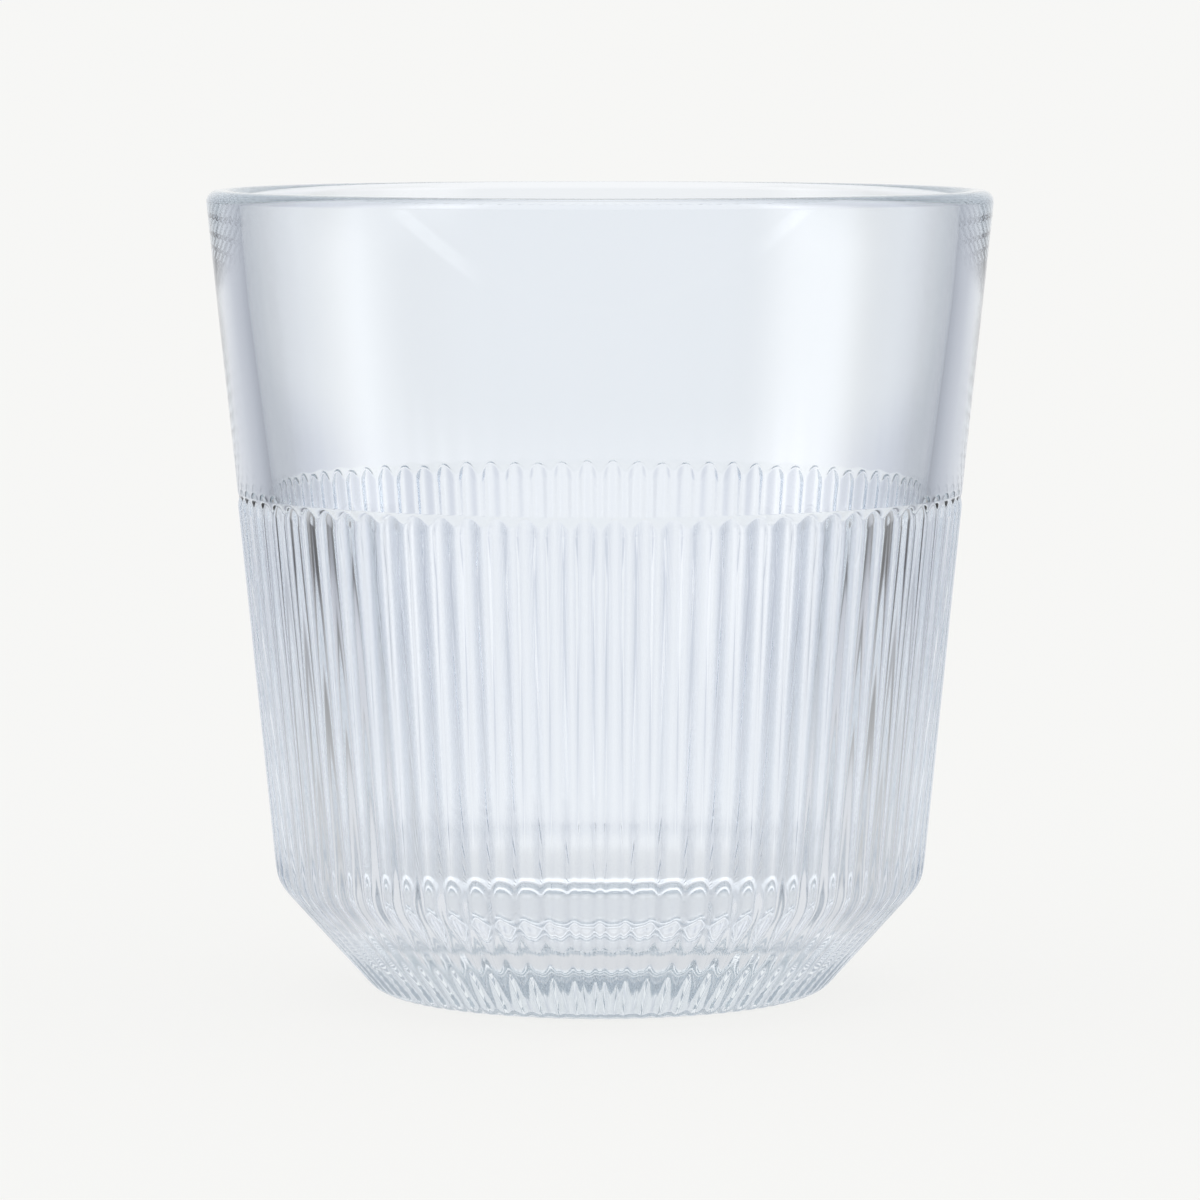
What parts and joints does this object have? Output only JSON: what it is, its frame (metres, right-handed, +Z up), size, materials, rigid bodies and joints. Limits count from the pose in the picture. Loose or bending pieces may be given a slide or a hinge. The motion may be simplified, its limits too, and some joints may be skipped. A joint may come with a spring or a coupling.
{
  "type": "juice glass",
  "caption": "Clear pressed-glass juice tumbler: smooth flared band with a round rim above an upright reeded wall, a soft shoulder and a reeded chamfer down to a thick foot.",
  "frame": {"origin": "centre of the resting face under the foot", "axes": "+Z up along the glass's axis, towards the rim; the glass is round about Z and a valley between two reeds faces +X"},
  "size_m": [0.0802, 0.0802, 0.082],
  "materials": {
    "clear_glass": "clear pressed soda-lime glass, fire-polished, with a faint cold tint in the thick base"
  },
  "bodies": {
    "root": {"tumbler": "clear_glass"}
  },
  "joints": []
}
